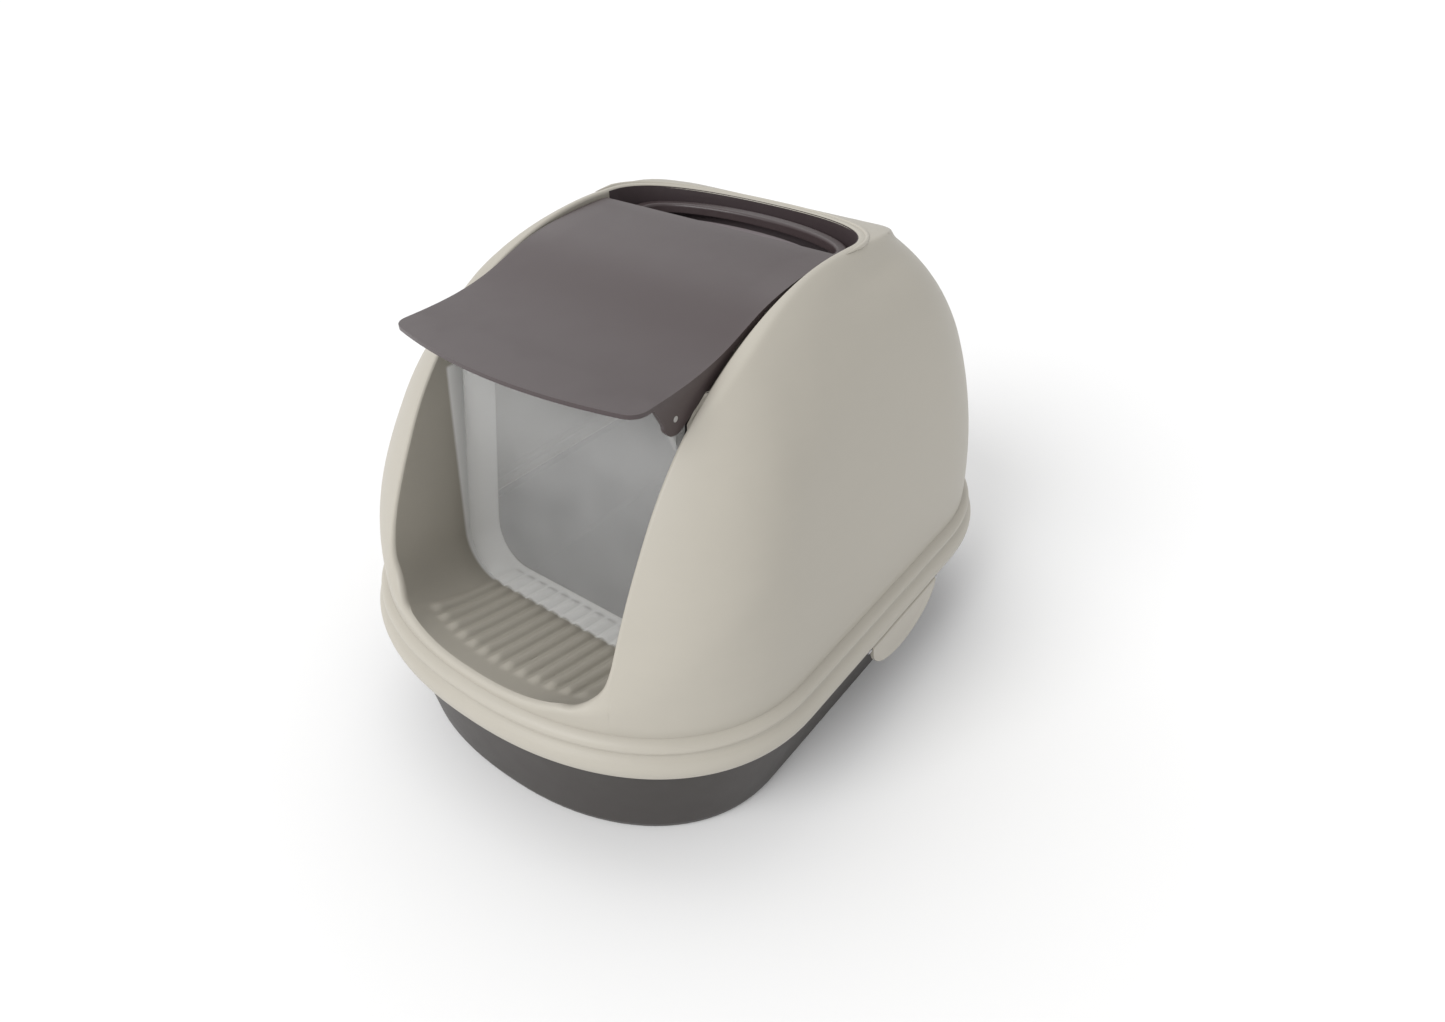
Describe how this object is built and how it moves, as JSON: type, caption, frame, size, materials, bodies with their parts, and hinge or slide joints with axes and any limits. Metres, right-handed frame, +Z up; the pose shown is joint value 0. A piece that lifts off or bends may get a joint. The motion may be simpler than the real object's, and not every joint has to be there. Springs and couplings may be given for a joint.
{
  "type": "cat litter box with hood",
  "caption": "Covered cat litter box: open tray under a domed lift-off hood, with a ribbed entry step, frosted swing flap, lifting visor, folding carry handle and side latches.",
  "frame": {"origin": "on the floor, under the middle of the box's outline", "axes": "+Z up, -Y towards the entry, +X to the right of someone facing the entry"},
  "size_m": [0.4, 0.534, 0.3678],
  "materials": {
    "tray_brown": "fine matt moulded plastic, dark brown",
    "hood_taupe": "satin moulded plastic, warm taupe",
    "visor_brown": "satin purple-brown moulded plastic",
    "flap_frosted": "frosted translucent plastic sheet",
    "well_brown": "matt dark brown plastic",
    "grille_brown": "matt brown plastic",
    "filter_felt": "carbon-filled felt",
    "pin_steel": "plain steel rod"
  },
  "bodies": {
    "tray": {"base_tray": "tray_brown"},
    "hood": {"hood_shell": "hood_taupe", "entry_porch": "hood_taupe", "filter_housing": "well_brown", "filter_grille": "grille_brown", "retainer_pin": "pin_steel", "visor_pin_left": "pin_steel", "visor_pin_right": "pin_steel", "handle_pin_left": "pin_steel", "handle_pin_right": "pin_steel", "latch_pin_left": "pin_steel", "latch_pin_right": "pin_steel"},
    "visor_lid": {"visor": "visor_brown", "flap_pin_left": "pin_steel", "flap_pin_right": "pin_steel"},
    "swing_flap": {"flap": "flap_frosted"},
    "handle": {"carry_handle": "visor_brown"},
    "latch_tab_left": {"latch_left": "hood_taupe"},
    "latch_tab_right": {"latch_right": "hood_taupe"},
    "filter_door": {"filter_retainer": "well_brown", "carbon_filter": "filter_felt"}
  },
  "joints": [
    {"name": "hood_lift", "type": "slide", "parent": "tray", "child": "hood", "axis": [0, 0, 1], "range_m": [0, 0.16]},
    {"name": "visor_hinge", "type": "hinge", "parent": "hood", "child": "visor_lid", "pos_m": [0, 0.019, 0.353], "axis": [-1, 0, 0], "range_deg": [0, 90]},
    {"name": "flap_swing", "type": "hinge", "parent": "visor_lid", "child": "swing_flap", "pos_m": [0, -0.151, 0.316], "axis": [1, 0, 0], "range_deg": [-55, 60]},
    {"name": "handle_hinge", "type": "hinge", "parent": "hood", "child": "handle", "pos_m": [0, 0.046, 0.35], "axis": [1, 0, 0], "range_deg": [0, 90]},
    {"name": "latch_left_hinge", "type": "hinge", "parent": "hood", "child": "latch_tab_left", "pos_m": [-0.197, 0.025, 0.0844], "axis": [0, 1, 0], "range_deg": [0, 80]},
    {"name": "latch_right_hinge", "type": "hinge", "parent": "hood", "child": "latch_tab_right", "pos_m": [0.197, 0.025, 0.0844], "axis": [0, -1, 0], "range_deg": [0, 80]},
    {"name": "filter_door_hinge", "type": "hinge", "parent": "hood", "child": "filter_door", "pos_m": [0, 0.1, 0.3198], "axis": [1, 0, 0], "range_deg": [0, 85]}
  ]
}
